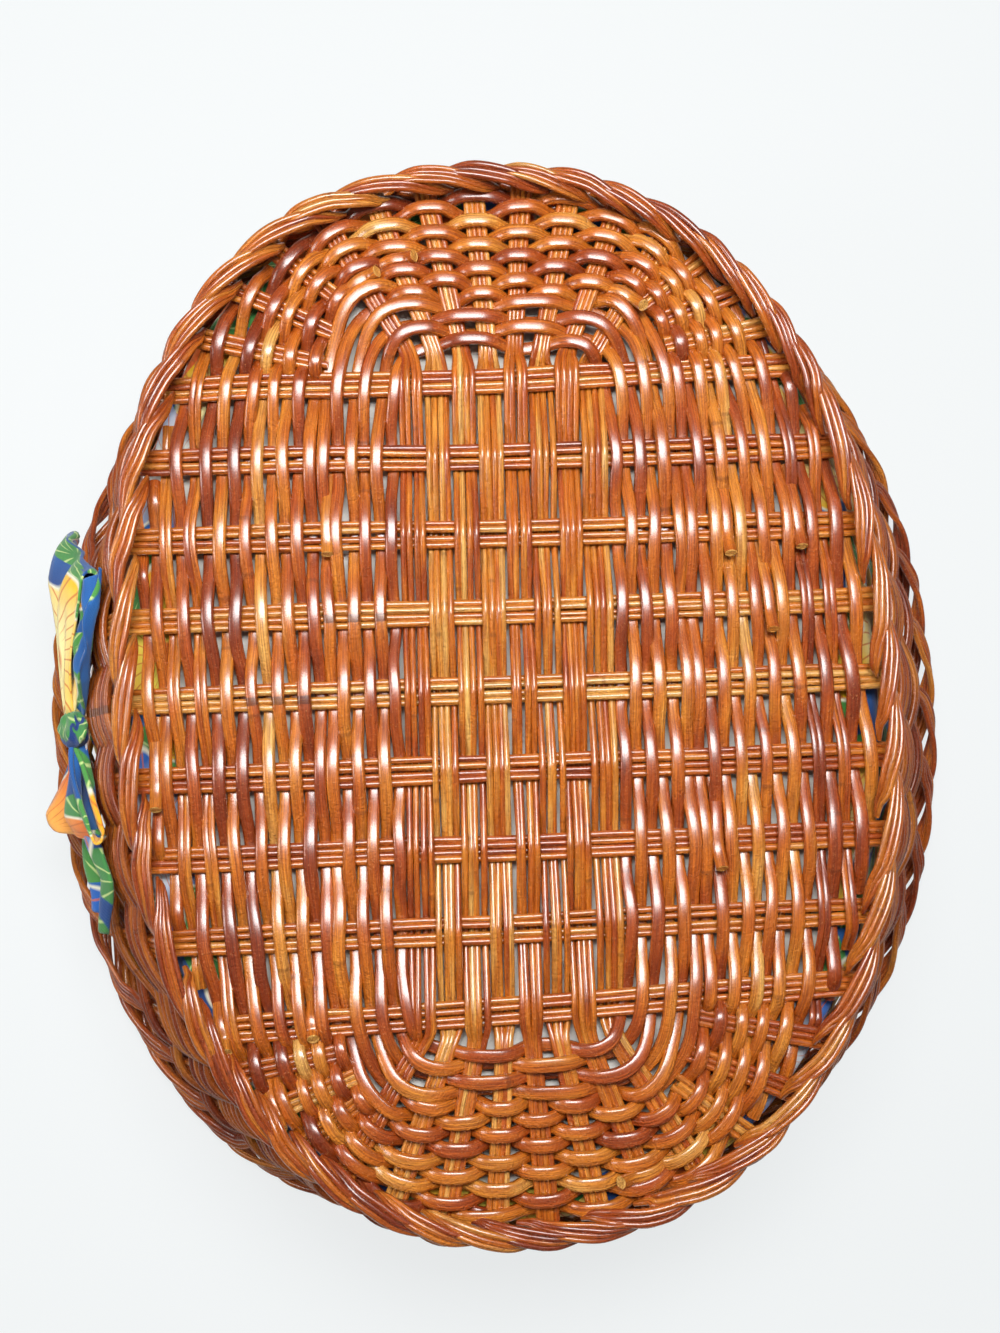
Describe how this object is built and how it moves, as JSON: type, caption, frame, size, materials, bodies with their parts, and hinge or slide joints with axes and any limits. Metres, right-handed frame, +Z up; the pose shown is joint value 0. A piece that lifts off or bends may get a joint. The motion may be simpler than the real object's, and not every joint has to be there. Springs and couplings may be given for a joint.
{
  "type": "rattan bread basket",
  "caption": "Oval woven basket with flared walls, a plaited foot and rim, a cloth liner with a plain floor, and a printed bow tied outside one long wall",
  "frame": {"origin": "on the floor under the middle of the basket", "axes": "+Z up out of the mouth, +Y along the basket's length, +X across it towards the bow"},
  "size_m": [0.269, 0.3124, 0.08],
  "materials": {
    "stake_cane": "varnished honey-brown round cane",
    "weaving_cane": "varnished reddish-brown round cane",
    "border_cane": "varnished plaited cane",
    "rim_cane": "darker varnished plaited cane",
    "printed_cotton": "printed cotton, blue ground with yellow, orange, green and white",
    "plain_cotton": "plain off-white cotton"
  },
  "bodies": {
    "root": {"base_round_1": "weaving_cane", "base_round_2": "weaving_cane", "base_round_3": "weaving_cane", "base_round_4": "weaving_cane", "bow_knot": "printed_cotton", "bow_loop_lower": "printed_cotton", "bow_loop_upper": "printed_cotton", "bow_tail_lower": "printed_cotton", "bow_tail_upper": "printed_cotton", "corner_stake_1": "stake_cane", "corner_stake_10": "stake_cane", "corner_stake_11": "stake_cane", "corner_stake_12": "stake_cane", "corner_stake_2": "stake_cane", "corner_stake_3": "stake_cane", "corner_stake_4": "stake_cane", "corner_stake_5": "stake_cane", "corner_stake_6": "stake_cane", "corner_stake_7": "stake_cane", "corner_stake_8": "stake_cane", "corner_stake_9": "stake_cane", "cross_stake_1": "stake_cane", "cross_stake_2": "stake_cane", "cross_stake_3": "stake_cane", "cross_stake_4": "stake_cane", "cross_stake_5": "stake_cane", "cross_stake_6": "stake_cane", "cross_stake_7": "stake_cane", "cross_stake_8": "stake_cane", "cross_stake_9": "stake_cane", "foot_border": "border_cane", "liner_floor": "plain_cotton", "liner_skirt": "printed_cotton", "liner_tie": "printed_cotton", "long_stake_1": "stake_cane", "long_stake_2": "stake_cane", "long_stake_3": "stake_cane", "long_stake_4": "stake_cane", "long_stake_5": "stake_cane", "long_stake_6": "stake_cane", "long_stake_7": "stake_cane", "long_stake_8": "stake_cane", "rim_border": "rim_cane", "side_rows_left_1": "weaving_cane", "side_rows_left_2": "weaving_cane", "side_rows_right_1": "weaving_cane", "side_rows_right_2": "weaving_cane", "wall_weave_lower": "weaving_cane", "wall_weave_middle": "weaving_cane", "wall_weave_upper": "weaving_cane"}
  },
  "joints": []
}
